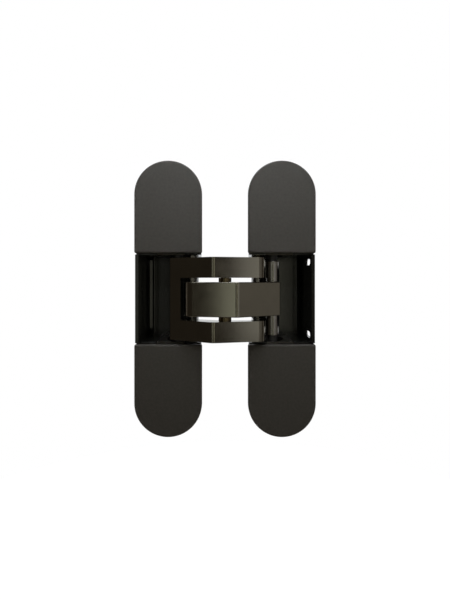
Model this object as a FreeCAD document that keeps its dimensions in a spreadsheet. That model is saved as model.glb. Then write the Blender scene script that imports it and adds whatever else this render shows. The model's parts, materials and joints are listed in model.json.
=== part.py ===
import FreeCAD, Part
import math
import os

import Sketcher

# Concealed invisible door hinge, fully open. The origin lies midway between the two halves, in the plane
# of their covered faces, at mid-height. +X points from the frame half to the door half, +Y into the wood
# and +Z up, along every pivot. All sizes are in millimetres and degrees.

SIZES = [
    ("window_length", 38.4),
    ("plate_width", 29.4),
    ("plate_gap", 20.0),
    ("cap_thickness", 2.2),
    ("cap_edge_round", 0.7),
    ("cap_corner_round", 0.8),
    ("cap_overhang", 0.5),
    ("cap_peg_radius", 1.5),
    ("cap_peg_length", 3.2),
    ("cap_peg_spacing", 15.0),
    ("cap_peg_inset", 13.0),
    ("flange_thickness", 4.0),
    ("housing_floor", 1.6),
    ("deep_end_wall", 2.2),
    ("deep_corner_round", 6.0),
    ("deep_back_round", 0.6),
    ("near_wall", 1.8),
    ("near_draft", 1.5),
    ("side_wall", 1.4),
    ("wall_foot_round", 2.6),
    ("sill", 0.6),
    ("fixing_hole_radius", 2.3),
    ("fixing_countersink", 2.1),
    ("inner_fixing_inset", 5.1),
    ("fixing_spacing", 11.0),
    ("outer_fixing_inset", 7.5),
    ("clip_hole_inset", 3.0),
    ("clip_hole_depth", 8.0),
    ("clip_hole_radius", 1.4),
    ("side_travel", 1.0),
    ("height_travel", 1.0),
    ("travel_spare", 0.2),
    ("slide_play", 0.15),
    ("cap_clearance", 0.1),
    ("block_corner_round", 4.4),
    ("foot_clearance", 0.6),
    ("floor_thickness", 1.9),
    ("floor_start", 3.4),
    ("channel_width", 4.0),
    ("guide_thickness", 2.2),
    ("guide_rib", 0.9),
    ("guide_side", 2.9),
    ("guide_front", 0.65),
    ("guide_foot", 0.97),
    ("seat_gap", 0.05),
    ("fixed_fit", 0.02),
    ("running_fit", 0.05),
    ("pin_bevel", 0.3),
    ("pivot_inset", 5.1),
    ("pivot_depth", 12.0),
    ("pivot_radius", 2.0),
    ("pivot_wall", 0.8),
    ("pivot_pin_seat", 4.3),
    ("sleeve_wall", 0.4),
    ("centre_front", 5.0),
    ("centre_radius", 1.8),
    ("centre_bush_wall", 0.45),
    ("centre_washer_rim", 0.9),
    ("centre_pin_recess", 0.3),
    ("closed_gap", 4.0),
    ("slider_offset", 6.2),
    ("slider_radius", 1.5),
    ("slider_wall", 1.3),
    ("slider_bush_wall", 0.7),
    ("slider_sleeve_wall", 1.55),
    ("sleeve_end_gap", 2.8),
    ("slot_play", 0.15),
    ("fork_side_gap", 1.5),
    ("arm_gap", 1.8),
    ("fork_web_inner", 2.2),
    ("middle_half", 7.3),
    ("tip_ahead", 5.3),
    ("tip_round", 0.6),
    ("bend_reach", 5.2),
    ("bend_ahead", 3.9),
    ("bend_round", 3.0),
    ("leg_lean", 2.55),
    ("shoulder_behind", 0.8),
    ("shoulder_round", 5.0),
    ("elbow_behind", 4.4),
    ("elbow_round", 3.0),
    ("waist_reach", 1.2),
    ("waist_behind", 3.3),
    ("waist_round", 1.0),
    ("heel_ahead", 1.05),
    ("heel_round", 1.0),
    ("end_flat", 0.1),
    ("arm_edge", 0.35),
    ("adjuster_rib", 0.3),
    ("block_margin", 5.8),
    ("side_screw_radius", 3.0),
    ("side_screw_neck", 1.8),
    ("hex_socket_radius", 1.5),
    ("hex_socket_depth", 3.0),
    ("cam_offset", 3.9),
    ("cam_radius", 3.4),
    ("cam_pin_radius", 1.3),
    ("cam_turn", 45.0),
    ("clamp_inset", 6.9),
    ("clamp_radius", 1.6),
    ("clamp_head_radius", 3.4),
    ("clamp_head_height", 2.4),
    ("clamp_socket_depth", 1.7),
]

# How far a cut runs on past the face that it leaves by.
OVERSHOOT = 1.0


class Size:
    """A number together with the sheet expression that gives it."""

    def __init__(self, value, text):
        self.value = value
        self.text = text

    @staticmethod
    def of(other):
        if isinstance(other, Size):
            return other
        return Size(float(other), repr(float(other)))

    def join(self, other, sign, value):
        return Size(value, "(%s %s %s)" % (self.text, sign, other.text))

    def __add__(self, other):
        other = Size.of(other)
        return self.join(other, "+", self.value + other.value)

    def __sub__(self, other):
        other = Size.of(other)
        return self.join(other, "-", self.value - other.value)

    def __mul__(self, other):
        other = Size.of(other)
        return self.join(other, "*", self.value * other.value)

    def __truediv__(self, other):
        other = Size.of(other)
        return self.join(other, "/", self.value / other.value)

    def __radd__(self, other):
        return Size.of(other) + self

    def __rsub__(self, other):
        return Size.of(other) - self

    def __rmul__(self, other):
        return Size.of(other) * self

    def __neg__(self):
        return Size.of(0.0) - self


class Table:
    """A spreadsheet whose cells are read back as Size values."""

    def __init__(self, doc, name, rows):
        sheet = doc.addObject("Spreadsheet::Sheet", name)
        for number, (alias, value) in enumerate(rows, start=1):
            sheet.set("A%d" % number, alias)
            sheet.set("B%d" % number, repr(float(value)))
            sheet.setAlias("B%d" % number, alias)
            setattr(self, alias, Size(float(value), "%s.%s" % (name, alias)))


def turned(point, centre, degrees):
    """A point turned about a centre, as plain numbers."""
    angle = math.radians(degrees)
    x = point[0] - centre[0]
    y = point[1] - centre[1]
    return (centre[0] + x * math.cos(angle) - y * math.sin(angle),
            centre[1] + x * math.sin(angle) + y * math.cos(angle))


def circle_through(first, second, third):
    """Centre and radius of the circle through three points."""
    ax, ay = first
    bx, by = second
    cx, cy = third
    twice = 2 * (ax * (by - cy) + bx * (cy - ay) + cx * (ay - by))
    a2 = ax * ax + ay * ay
    b2 = bx * bx + by * by
    c2 = cx * cx + cy * cy
    x = (a2 * (by - cy) + b2 * (cy - ay) + c2 * (ay - by)) / twice
    y = (a2 * (cx - bx) + b2 * (ax - cx) + c2 * (bx - ax)) / twice
    return x, y, math.hypot(ax - x, ay - y)


def linkage(pivot, centre, slider, closed_gap):
    """Angles of the closing motion and the path of the fork's slider in the frame half.

    The middle arm turns by `fold` about the fixed pivot, the fork turns by `cross` on the middle arm at
    the centre pin, and the door half turns by `fold` on the fork: together half a turn.
    """
    reach = math.hypot(centre[0] - pivot[0], centre[1] - pivot[1])
    start = math.atan2(centre[1] - pivot[1], centre[0] - pivot[0])
    drop = closed_gap / 2 + pivot[1]
    fold = math.degrees(-math.pi + math.asin(drop / reach) - start)
    cross = -180.0 - 2 * fold
    path = []
    for share in (0.0, 0.5, 1.0):
        moved_centre = turned(centre, pivot, fold * share)
        moved = (slider[0] + moved_centre[0] - centre[0], slider[1] + moved_centre[1] - centre[1])
        path.append(turned(moved, moved_centre, (fold + cross) * share))
    return fold, cross, path


def number(value):
    return value.value if isinstance(value, Size) else float(value)


def vector(x, y):
    return FreeCAD.Vector(number(x), number(y), 0)


def same(first, second):
    return (first - second).Length < 1e-6


class Piece:
    """A PartDesign body with short calls for sketches and features."""

    def __init__(self, doc, name):
        self.doc = doc
        self.name = name
        self.body = doc.addObject("PartDesign::Body", name)
        self.body.Label = name
        self.count = 0

    def label(self, word):
        self.count += 1
        return "%s_%s_%d" % (self.name, word, self.count)

    def sketch(self, plane, offset, loops):
        """A sketch of closed loops on one of the body's origin planes, every point tied to the sheet."""
        sketch = self.body.newObject("Sketcher::SketchObject", self.label("outline"))
        planes = {item.Role: item for item in self.body.Origin.OriginFeatures}
        sketch.AttachmentSupport = [(planes[plane + "_Plane"], "")]
        sketch.MapMode = "FlatFace"
        offset = Size.of(offset)
        sketch.setExpression("AttachmentOffset.Base.z", offset.text)
        constraints = []
        bound = []

        def tie(kind, element, point, size):
            size = Size.of(size)
            bound.append((len(constraints), size.text))
            constraints.append(Sketcher.Constraint(kind, -1, 1, element, point, size.value))

        for loop in loops:
            if loop[0] == "circle":
                _, x, y, radius = loop
                circle = Part.Circle(vector(x, y), FreeCAD.Vector(0, 0, 1), number(radius))
                element = sketch.addGeometry(circle, False)
                tie("DistanceX", element, 3, x)
                tie("DistanceY", element, 3, y)
                bound.append((len(constraints), Size.of(radius).text))
                constraints.append(Sketcher.Constraint("Radius", element, number(radius)))
                continue
            elements = []
            before = loop[-1]
            for step in loop:
                start = vector(before[1], before[2])
                end = vector(step[1], step[2])
                if step[0] == "line":
                    element = sketch.addGeometry(Part.LineSegment(start, end), False)
                    elements.append((element, 1, 2, before))
                else:
                    centre = vector(step[3], step[4])
                    bulge = FreeCAD.Vector(step[5][0], step[5][1], 0).normalize()
                    middle = centre + bulge * (start - centre).Length
                    element = sketch.addGeometry(Part.Arc(start, middle, end), False)
                    ends = (1, 2) if same(sketch.getPoint(element, 1), start) else (2, 1)
                    elements.append((element, ends[0], ends[1], before))
                    across = end - start
                    if abs(across.x) > abs(across.y):
                        tie("DistanceY", element, 3, step[4])
                    else:
                        tie("DistanceX", element, 3, step[3])
                before = step
            for index, (element, start_point, end_point, corner) in enumerate(elements):
                tie("DistanceX", element, start_point, corner[1])
                tie("DistanceY", element, start_point, corner[2])
                following = elements[(index + 1) % len(elements)]
                constraints.append(Sketcher.Constraint("Coincident", element, end_point,
                                                       following[0], following[1]))
        sketch.addConstraint(constraints)
        for index, text in bound:
            sketch.setExpression("Constraints[%d]" % index, text)
        return sketch

    def finish(self, feature):
        self.doc.recompute()
        if feature.Shape.isNull() or not feature.Shape.isValid():
            raise ValueError("%s did not build" % feature.Name)
        return feature

    def extrude(self, kind, sketch, length, backwards, both):
        feature = self.body.newObject("PartDesign::" + kind, self.label(kind.lower()))
        feature.Profile = sketch
        feature.SideType = "Symmetric" if both else "One side"
        feature.Reversed = backwards
        feature.setExpression("Length", Size.of(length).text)
        return self.finish(feature)

    def pad(self, plane, offset, length, loops, backwards=False, both=False):
        """Adds a prism on the outline. The XZ plane grows towards +Y when backwards is set."""
        return self.extrude("Pad", self.sketch(plane, offset, loops), length, backwards, both)

    def cut(self, plane, offset, length, loops, backwards=False, both=False):
        """Takes a prism away and makes sure that something went."""
        before = self.body.Shape.Volume
        feature = self.extrude("Pocket", self.sketch(plane, offset, loops), length, backwards, both)
        if self.body.Shape.Volume > before - 1e-6:
            raise ValueError("%s cut nothing" % feature.Name)
        return feature

    def revolve(self, plane, loops):
        """Turns an outline about the sketch's upright axis."""
        feature = self.body.newObject("PartDesign::Revolution", self.label("turn"))
        sketch = self.sketch(plane, 0, loops)
        feature.Profile = sketch
        feature.ReferenceAxis = (sketch, ["V_Axis"])
        feature.Angle = 360.0
        return self.finish(feature)

    def dress(self, kind, size, test):
        """Rounds or chamfers the edges that a test picks by their place."""
        base = self.body.Tip
        names = ["Edge%d" % index for index, edge in enumerate(base.Shape.Edges, start=1) if test(edge)]
        if not names:
            raise ValueError("%s has no edge to %s" % (self.name, kind))
        feature = self.body.newObject("PartDesign::" + kind, self.label(kind.lower()))
        feature.Base = (base, names)
        feature.setExpression("Radius" if kind == "Fillet" else "Size", Size.of(size).text)
        return self.finish(feature)

    def place(self, x=0, y=0, z=0):
        for axis, value in (("x", x), ("y", y), ("z", z)):
            self.body.setExpression("Placement.Base." + axis, Size.of(value).text)


def box_loop(x1, y1, x2, y2):
    return [("line", x1, y1), ("line", x2, y1), ("line", x2, y2), ("line", x1, y2)]


def ring_loop(inner, outer, low, high):
    return box_loop(inner, low, outer, high)


def along(edge, axis):
    """Whether a straight edge runs along one of the three axes."""
    if not isinstance(edge.Curve, Part.Line):
        return False
    direction = edge.Curve.Direction
    return abs(abs(direction[axis]) - 1) < 1e-6


def near(edge, **place):
    """Whether the middle of an edge's box lies at the given coordinates."""
    middle = edge.BoundBox.Center
    return all(abs(getattr(middle, axis) - number(value)) < 0.02 for axis, value in place.items())


def flat_at(edge, axis, value):
    """Whether an edge lies in the plane where one coordinate has the given value."""
    low = getattr(edge.BoundBox, axis + "Min")
    high = getattr(edge.BoundBox, axis + "Max")
    return abs(low - number(value)) < 1e-4 and abs(high - number(value)) < 1e-4


class Hinge:
    """All the pieces, each made by a method of its own, and the sizes that more than one of them shares."""

    def __init__(self, doc):
        self.doc = doc
        self.nodes = []
        s = Table(doc, "Sizes", SIZES)
        self.s = s
        self.gap_side = s.plate_gap / 2
        self.pivot_reach = self.gap_side + s.pivot_inset
        self.slider_reach = self.pivot_reach + s.slider_offset
        self.slider_bush_radius = s.slider_radius + s.slider_bush_wall
        self.slot_half = self.slider_bush_radius + s.slot_play
        self.block_front = s.cap_thickness + s.side_travel + s.travel_spare + s.cap_clearance
        self.slider_depth = self.block_front + s.guide_front + self.slot_half
        self.fold, self.cross, path = linkage(
            (-self.pivot_reach.value, s.pivot_depth.value), (0.0, -s.centre_front.value),
            (-self.slider_reach.value, self.slider_depth.value), s.closed_gap.value)
        centre_x, centre_y, radius = circle_through(*path)
        self.path = Table(doc, "Path", [
            ("start_x", -path[0][0]), ("start_y", path[0][1]), ("end_x", -path[2][0]), ("end_y", path[2][1]),
            ("centre_x", -centre_x), ("centre_y", centre_y), ("radius", radius)])
        self.place_plates()
        self.place_linkage()
        self.place_blocks()

    def place_plates(self):
        """Where the caps, the window between them and the housing's walls lie."""
        s = self.s
        self.centre_x = self.gap_side + s.plate_width / 2
        self.half_body = s.plate_width / 2 - s.cap_overhang
        self.near_x = self.centre_x - self.half_body
        self.far_x = self.centre_x + self.half_body
        self.inner_near = self.near_x + s.near_wall
        self.inner_far = self.far_x - s.side_wall
        self.window_half = s.window_length / 2
        self.cap_start = self.window_half + s.sill
        self.flange_back = s.cap_thickness + s.flange_thickness

    def place_linkage(self):
        """Sizes of the arms, pins and bushes that follow from the window and from each other."""
        s = self.s
        self.pivot_boss = s.pivot_radius + s.pivot_wall
        self.sleeve_radius = s.pivot_radius + s.sleeve_wall
        self.centre_bush_radius = s.centre_radius + s.centre_bush_wall
        self.slider_boss = s.slider_radius + s.slider_wall
        self.fork_half = self.window_half - s.fork_side_gap
        self.fork_slot_half = s.middle_half + s.arm_gap
        self.slider_sleeve_half = self.window_half - s.sleeve_end_gap
        self.seat_half = self.window_half + s.guide_thickness
        self.guide_low = self.pivot_reach + s.pivot_radius + s.guide_rib
        self.guide_high = self.path.centre_x + self.path.radius + self.slot_half + s.guide_side

    def place_blocks(self):
        """Depths of the pocket, then heights outwards: end blocks, deep box, fixing screws, plate's end."""
        s = self.s
        self.pocket_depth = self.path.end_y + self.slot_half + s.guide_foot
        self.block_back = self.pocket_depth + s.floor_thickness
        self.frame_floor = self.block_back + s.side_travel + s.travel_spare
        self.door_floor = self.block_back + s.slide_play
        self.housing_depth = self.frame_floor + s.housing_floor
        self.pivot_pin_half = self.window_half + s.pivot_pin_seat
        self.adjuster_height = self.pivot_pin_half + s.cam_radius + s.adjuster_rib
        self.block_half = self.adjuster_height + s.block_margin
        self.deep_half = self.block_half + s.height_travel + s.travel_spare + s.deep_end_wall
        self.inner_fixing = self.deep_half + s.inner_fixing_inset
        self.outer_fixing = self.inner_fixing + s.fixing_spacing
        self.plate_half = self.outer_fixing + s.outer_fixing_inset
        self.arc_height = self.plate_half - s.plate_width / 2
        self.peg_height = self.plate_half - s.cap_peg_inset
        self.cam_reach = self.pivot_reach + s.cam_offset
        self.clamp_reach = self.inner_far - s.clamp_inset

    def keep(self, item, name):
        item.Label = name
        self.nodes.append((name, item))
        return item

    def mirrored(self, name, source, normal):
        mirror = self.doc.addObject("Part::Mirroring", name)
        mirror.Source = source
        mirror.Normal = FreeCAD.Vector(*normal)
        return mirror

    def pair(self, name, piece):
        """Two equal solids, above and below mid-height, in one node."""
        lower = self.mirrored(name + "_lower", piece.body, (0, 0, 1))
        both = self.doc.addObject("Part::Compound", name)
        both.Links = [piece.body, lower]
        return self.keep(both, name)

    def both_sides(self, name, piece):
        """The door side's piece and its mirror image on the frame side."""
        self.keep(piece.body, "right_" + name)
        self.keep(self.mirrored("left_" + name, piece.body, (1, 0, 0)), "left_" + name)

    def cap(self, up, word):
        """A cover cap: a plate with one round end and two pegs that snap into the flange."""
        s = self.s
        arc_height = self.arc_height * up
        end = self.cap_start * up
        far = self.gap_side + s.plate_width
        piece = Piece(self.doc, "right_%s_cap" % word)
        piece.pad("XZ", 0, s.cap_thickness, [[
            ("line", self.gap_side, end), ("line", far, end), ("line", far, arc_height),
            ("arc", self.gap_side, arc_height, self.centre_x, arc_height, (0, up))]], backwards=True)
        piece.dress("Fillet", s.cap_corner_round, lambda edge: along(edge, 1) and
                    abs(edge.BoundBox.Center.z - end.value) < 0.02)
        piece.dress("Fillet", s.cap_edge_round, lambda edge: flat_at(edge, "Y", 0))
        pegs = [("circle", self.centre_x + s.cap_peg_spacing / 2 * side, self.peg_height * up,
                 s.cap_peg_radius) for side in (-1, 1)]
        piece.pad("XZ", -s.cap_thickness, s.cap_peg_length, pegs, backwards=True)
        self.both_sides("%s_cap" % word, piece)

    def housing(self, side, word):
        """The cast housing: a round-ended flange, a deep box behind it and a window towards the door gap."""
        s = self.s
        left = side < 0
        floor = self.frame_floor if left else self.door_floor
        play = s.slide_play if left else s.height_travel + s.travel_spare
        cavity_half = self.block_half + play
        arc_height = self.arc_height
        near_x = self.near_x * side
        far_x = self.far_x * side
        centre_x = self.centre_x * side
        piece = Piece(self.doc, word + "_housing")
        piece.pad("XZ", -s.cap_thickness, s.flange_thickness, [[
            ("line", near_x, -arc_height),
            ("arc", far_x, -arc_height, centre_x, -arc_height, (0, -1)),
            ("line", far_x, arc_height),
            ("arc", near_x, arc_height, centre_x, arc_height, (0, 1))]], backwards=True)
        piece.pad("XZ", -s.cap_thickness, self.housing_depth - s.cap_thickness,
                  [box_loop(near_x, -self.deep_half, far_x, self.deep_half)], backwards=True)
        piece.dress("Fillet", s.deep_corner_round, lambda edge: along(edge, 1) and
                    abs(abs(edge.BoundBox.Center.z) - self.deep_half.value) < 0.02)
        outside = (self.near_x - OVERSHOOT) * side
        back_x = (self.near_x + s.near_draft) * side
        past = self.housing_depth + OVERSHOOT
        draft = [("line", outside, self.flange_back), ("line", near_x, self.flange_back),
                 ("line", back_x, self.housing_depth), ("line", back_x, past), ("line", outside, past)]
        piece.cut("XY", 0, self.plate_half * 2, [draft], both=True)
        piece.dress("Fillet", s.deep_back_round, lambda edge: flat_at(edge, "Y", self.housing_depth))
        piece.pad("XZ", 0, s.cap_thickness,
                  [box_loop(near_x, -self.window_half, far_x, self.window_half)], backwards=True)
        piece.cut("XZ", 0, floor,
                  [box_loop(self.inner_near * side, -cavity_half, self.inner_far * side, cavity_half)])
        piece.dress("Fillet", s.block_corner_round, lambda edge: along(edge, 1) and
                    abs(abs(edge.BoundBox.Center.z) - cavity_half.value) < 0.02 and
                    edge.BoundBox.YMax > self.housing_depth.value / 2)
        piece.dress("Fillet", s.wall_foot_round, lambda edge: along(edge, 2) and
                    near(edge, x=self.inner_far * side, y=floor))
        piece.cut("XZ", 0, floor, [box_loop(outside, -self.window_half,
                                           (self.inner_near + OVERSHOOT) * side, self.window_half)])
        floor_edge = self.gap_side + s.floor_start
        piece.cut("XZ", 0, past, [box_loop(outside, -self.window_half, floor_edge * side,
                                          self.window_half)])
        self.fixing_holes(piece, centre_x)
        if left:
            piece.cut("XZ", 0, past,
                      [("circle", self.centre_x * side, self.adjuster_height * up,
                        s.side_screw_neck + s.running_fit) for up in (-1, 1)])
        else:
            self.clip_holes(piece)
            self.cam_seats(piece)
        self.keep(piece.body, word + "_housing")

    def clip_holes(self, piece):
        """Two round holes through the door housing's far wall, one near each end of the window."""
        s = self.s
        height = self.window_half - s.clip_hole_inset
        piece.cut("YZ", self.far_x - s.side_wall / 2, s.side_wall * 2,
                  [("circle", s.clip_hole_depth, height * up, s.clip_hole_radius) for up in (-1, 1)],
                  both=True)

    def fixing_holes(self, piece, centre_x):
        """Countersunk screw holes and the sockets of the cap pegs, all hidden by the caps."""
        s = self.s
        heights = [height * up for height in (self.inner_fixing, self.outer_fixing) for up in (-1, 1)]
        piece.cut("XZ", 0, self.housing_depth,
                  [("circle", centre_x, height, s.fixing_hole_radius) for height in heights])
        piece.dress("Chamfer", s.fixing_countersink, lambda edge: isinstance(edge.Curve, Part.Circle) and
                    flat_at(edge, "Y", s.cap_thickness) and
                    abs(edge.Curve.Radius - s.fixing_hole_radius.value) < 1e-4)
        piece.cut("XZ", 0, self.housing_depth,
                  [("circle", centre_x + s.cap_peg_spacing / 2 * side, self.peg_height * up,
                    s.cap_peg_radius + s.fixed_fit) for side in (-1, 1) for up in (-1, 1)])

    def cam_throw(self):
        return self.s.height_travel / math.sin(math.radians(self.s.cam_turn.value))

    def cam_seats(self, piece):
        """In the door housing's floor: a slot across for each cam pin, and a hole for each clamp screw."""
        s = self.s
        radius = s.cam_pin_radius + s.running_fit * 2
        throw = self.cam_throw()
        low = self.cam_reach + throw * math.cos(math.radians(s.cam_turn.value))
        high = self.cam_reach + throw
        loops = []
        for up in (-1, 1):
            height = self.adjuster_height * up
            loops.append([("line", high, height - radius),
                          ("arc", high, height + radius, high, height, (1, 0)),
                          ("line", low, height + radius),
                          ("arc", low, height - radius, low, height, (-1, 0))])
            loops.append(("circle", self.clamp_reach, height, s.clamp_radius + s.fixed_fit))
        piece.cut("XZ", 0, self.housing_depth + OVERSHOOT, loops)

    def carrier(self, side, word):
        """The carrier: two end blocks on a floor plate, which slides in the housing for adjustment."""
        s = self.s
        low_x = (self.inner_near + s.slide_play) * side
        high_x = (self.inner_far - s.slide_play) * side
        depth = self.block_back - self.block_front
        piece = Piece(self.doc, word + "_carrier")
        piece.pad("XZ", -self.block_front, depth,
                  [box_loop(low_x, -self.block_half, high_x, self.block_half)], backwards=True)
        round_size = s.block_corner_round + s.slide_play
        piece.dress("Fillet", round_size, lambda edge: along(edge, 1))
        foot_chamfer = s.wall_foot_round + s.foot_clearance
        piece.dress("Chamfer", foot_chamfer, lambda edge: along(edge, 2) and
                    near(edge, x=high_x, y=self.block_back))
        window = self.window_half
        near_side = (self.near_x - OVERSHOOT) * side
        far_side = (self.far_x + OVERSHOOT) * side
        piece.cut("XZ", 0, self.pocket_depth, [box_loop(near_side, -window, far_side, window)])
        floor_low = self.gap_side + s.floor_start
        floor_high = self.inner_far - s.channel_width
        piece.cut("XZ", 0, self.housing_depth, [
            box_loop(near_side, -window, floor_low * side, window),
            box_loop(floor_high * side, -window, far_side, window)])
        piece.cut("XY", 0, self.seat_half * 2, [box_loop(
            self.guide_low * side, 0, self.guide_high * side, self.pocket_depth)], both=True)
        piece.cut("XY", 0, (self.pivot_pin_half + s.seat_gap) * 2, [
            ("circle", self.pivot_reach * side, s.pivot_depth, s.pivot_radius + s.fixed_fit)], both=True)
        if side < 0:
            piece.cut("XZ", 0, self.housing_depth,
                      [("circle", self.centre_x * side, self.adjuster_height * up,
                        s.side_screw_radius + s.running_fit) for up in (-1, 1)])
        else:
            self.cam_bores(piece)
        self.keep(piece.body, word + "_carrier")

    def cam_bores(self, piece):
        """In the door carrier: a round bore for each cam, and an upright slot for each clamp screw."""
        s = self.s
        travel = s.height_travel + s.travel_spare
        x = self.clamp_reach
        shank = s.clamp_radius + s.fixed_fit + s.seat_gap
        head = s.clamp_head_radius + s.seat_gap
        piece.cut("XZ", 0, self.housing_depth,
                  [("circle", self.cam_reach, self.adjuster_height * up, s.cam_radius + s.running_fit)
                   for up in (-1, 1)])
        for radius, depth in ((shank, self.housing_depth), (head, self.head_seat())):
            loops = []
            for up in (-1, 1):
                low = self.adjuster_height * up - travel
                high = self.adjuster_height * up + travel
                loops.append([("line", x + radius, high),
                              ("arc", x - radius, high, x, high, (0, 1)),
                              ("line", x - radius, low),
                              ("arc", x + radius, low, x, low, (0, -1))])
            piece.cut("XZ", 0, depth, loops)

    def head_seat(self):
        """Depth of the shelf that the clamp screw's head bears on."""
        return self.block_front + self.s.clamp_head_height + self.s.travel_spare

    def guide(self, up, word):
        """A guide plate let into an end block, with the curved slot that the slider's bush runs in."""
        s = self.s
        path = self.path
        half = self.slot_half
        start = (path.start_x, path.start_y)
        end = (path.end_x, path.end_y)
        piece = Piece(self.doc, "right_%s_guide" % word)
        low = self.guide_low + s.seat_gap
        high = self.guide_high - s.seat_gap
        base = self.window_half if up > 0 else -self.window_half
        thickness = s.guide_thickness - s.seat_gap
        piece.pad("XY", base, thickness,
                  [box_loop(low, self.block_front, high, self.pocket_depth - s.seat_gap)], backwards=up < 0)
        corners = []
        for x, y in (start, end):
            across = ((x - path.centre_x) / path.radius * half, (y - path.centre_y) / path.radius * half)
            corners.append(((x + across[0], y + across[1]), (x - across[0], y - across[1])))
        (start_out, start_in), (end_out, end_in) = corners
        lead = (path.centre_x.value, path.centre_y.value)
        middle = ((start[0].value + end[0].value) / 2 - lead[0],
                  (start[1].value + end[1].value) / 2 - lead[1])
        first = (start[1].value - lead[1], lead[0] - start[0].value)
        last = (lead[1] - end[1].value, end[0].value - lead[0])
        piece.cut("XY", base, thickness, [[
            ("arc", end_out[0], end_out[1], path.centre_x, path.centre_y, middle),
            ("arc", end_in[0], end_in[1], end[0], end[1], last),
            ("arc", start_in[0], start_in[1], path.centre_x, path.centre_y, middle),
            ("arc", start_out[0], start_out[1], start[0], start[1], first)]], backwards=up > 0)
        self.both_sides("%s_guide" % word, piece)

    def arm_corners(self, hand):
        """Corners of an arm in plan with their rounding. The slider end points to -X for hand 1."""
        s = self.s
        tip = self.slider_reach + self.slider_boss
        heel = self.slider_reach - self.slider_boss
        end = self.slider_depth + self.slider_boss
        inner = self.pivot_reach - self.pivot_boss
        outer = self.pivot_reach + self.pivot_boss
        foot = s.pivot_depth + self.pivot_boss
        front = -s.centre_front
        slider_end = self.slider_boss - s.end_flat
        pivot_end = self.pivot_boss - s.end_flat
        corners = [
            (-tip, self.slider_depth - s.tip_ahead, s.tip_round),
            (-s.bend_reach, front - s.bend_ahead, s.bend_round),
            (self.pivot_reach + s.leg_lean, front + s.shoulder_behind, s.shoulder_round),
            (outer, foot, pivot_end),
            (inner, foot, pivot_end),
            (inner, front + s.elbow_behind, s.elbow_round),
            (-s.waist_reach, front + s.waist_behind, s.waist_round),
            (-heel, self.slider_depth - s.heel_ahead, s.heel_round),
            (-heel, end, slider_end),
            (-tip, end, slider_end)]
        return [(x * hand, y, size) for x, y, size in corners]

    def arm(self, name, hand, half):
        """One arm, cut from its plan outline: slider barrel, bent beam, shoulder and pivot leg."""
        piece = Piece(self.doc, name)
        corners = self.arm_corners(hand)
        piece.pad("XY", 0, half * 2, [[("line", x, y) for x, y, _ in corners]], both=True)
        for x, y, size in corners:
            piece.dress("Fillet", size, lambda edge: along(edge, 2) and near(edge, x=x, y=y))
        piece.dress("Fillet", self.s.arm_edge, lambda edge: flat_at(edge, "Z", half) or
                    flat_at(edge, "Z", -half))
        return piece

    def fork_arm(self):
        """The outer arm: two tines above and below the middle arm, joined by a web at the slider."""
        s = self.s
        piece = self.arm("fork_arm", 1, self.fork_half)
        slot = self.fork_slot_half
        web = -(self.slider_reach - s.fork_web_inner)
        piece.cut("XZ", self.gap_side * 2, s.plate_width * 2, [box_loop(web, -slot, self.far_x, slot)])
        piece.dress("Fillet", s.arm_edge, lambda edge: not near(edge, x=web) and
                    (flat_at(edge, "Z", slot) or flat_at(edge, "Z", -slot)))
        piece.cut("XY", 0, self.fork_half * 3, [
            ("circle", self.pivot_reach, s.pivot_depth, s.pivot_radius + s.running_fit),
            ("circle", 0, -s.centre_front, s.centre_radius + s.fixed_fit),
            ("circle", -self.slider_reach, self.slider_depth, s.slider_radius + s.fixed_fit)], both=True)
        self.keep(piece.body, "fork_arm")

    def middle_arm(self):
        """The inner arm, between the fork's tines."""
        s = self.s
        piece = self.arm("middle_arm", -1, s.middle_half)
        piece.cut("XY", 0, s.middle_half * 3, [
            ("circle", -self.pivot_reach, s.pivot_depth, s.pivot_radius + s.running_fit),
            ("circle", 0, -s.centre_front, self.centre_bush_radius + s.fixed_fit),
            ("circle", self.slider_reach, self.slider_depth, s.slider_radius + s.fixed_fit)], both=True)
        self.keep(piece.body, "middle_arm")

    def pin(self, name, radius, half, x, y):
        """A turned pin with chamfered ends, centred on mid-height."""
        piece = Piece(self.doc, name)
        bevel = self.s.pin_bevel
        piece.revolve("XZ", [[("line", 0, -half), ("line", radius - bevel, -half),
                              ("line", radius, bevel - half), ("line", radius, half - bevel),
                              ("line", radius - bevel, half), ("line", 0, half)]])
        piece.place(x, y)
        return piece

    def ring(self, name, inner, outer, low, high, x, y):
        """A plain turned ring."""
        piece = Piece(self.doc, name)
        piece.revolve("XZ", [ring_loop(inner, outer, low, high)])
        piece.place(x, y)
        return piece

    def pivots(self):
        """The fixed pivots deep in each half, with the sleeves and washers that keep the arms centred."""
        s = self.s
        bore = s.pivot_radius + s.fixed_fit
        play = s.running_fit * 2
        for side, word in ((-1, "left"), (1, "right")):
            pin = self.pin(word + "_pivot_pin", s.pivot_radius, self.pivot_pin_half,
                           self.pivot_reach * side, s.pivot_depth)
            self.keep(pin.body, word + "_pivot_pin")
        self.pair("left_pivot_sleeves", self.ring(
            "left_pivot_sleeve", bore, self.sleeve_radius, s.middle_half + play, self.window_half - play,
            -self.pivot_reach, s.pivot_depth))
        spacer = self.ring("right_pivot_spacer", bore, self.sleeve_radius, play - self.fork_slot_half,
                           self.fork_slot_half - play, self.pivot_reach, s.pivot_depth)
        self.keep(spacer.body, "right_pivot_spacer")
        self.pair("right_pivot_washers", self.ring(
            "right_pivot_washer", bore, self.pivot_boss, self.fork_half + play, self.window_half - play,
            self.pivot_reach, s.pivot_depth))

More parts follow.
